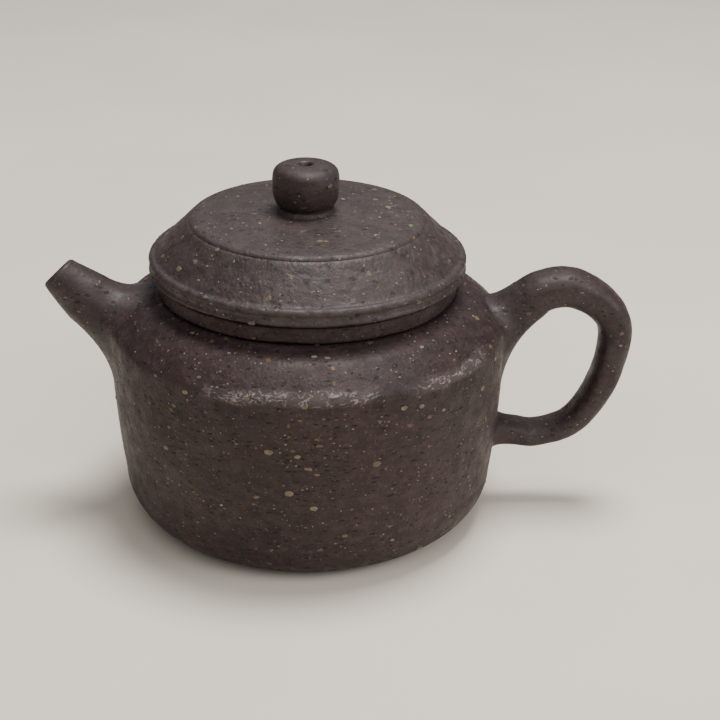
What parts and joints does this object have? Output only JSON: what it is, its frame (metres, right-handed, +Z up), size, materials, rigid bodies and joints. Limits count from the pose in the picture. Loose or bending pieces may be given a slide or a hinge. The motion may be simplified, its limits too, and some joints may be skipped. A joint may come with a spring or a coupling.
{
  "type": "yixing clay teapot",
  "caption": "Small drum-shaped unglazed clay teapot with a short spout, ear handle and lift-off bevelled lid with a vented drum knob.",
  "frame": {"origin": "on the pot's axis at the middle of the underside, at the plane the pot stands on", "axes": "+Z up along the pot's axis, +X towards the handle, -X towards the spout"},
  "size_m": [0.1308, 0.088, 0.0817],
  "materials": {
    "body_clay": "matt, speckled",
    "lid_clay": "matt, speckled",
    "limb_clay": "smooth matt",
    "inner_clay": "raw matt"
  },
  "bodies": {
    "pot": {"base_disc": "body_clay", "body_wall": "body_clay", "shoulder_disc": "body_clay", "neck_ring": "body_clay", "mouth_ring": "body_clay", "spout": "limb_clay", "spout_strainer": "inner_clay", "handle": "limb_clay"},
    "lid_collar_body": {"lid_collar": "inner_clay"},
    "lid": {"lid_ring": "lid_clay", "lid_disc": "lid_clay", "knob_seat": "lid_clay", "knob": "lid_clay"}
  },
  "joints": [
    {"name": "lid_lift", "type": "slide", "parent": "pot", "child": "lid_collar_body", "axis": [0, 0, 1], "range_m": [0, 0.045]},
    {"name": "lid_turn", "type": "hinge", "parent": "lid_collar_body", "child": "lid", "pos_m": [0, 0, 0.058], "axis": [0, 0, 1], "continuous": true}
  ]
}
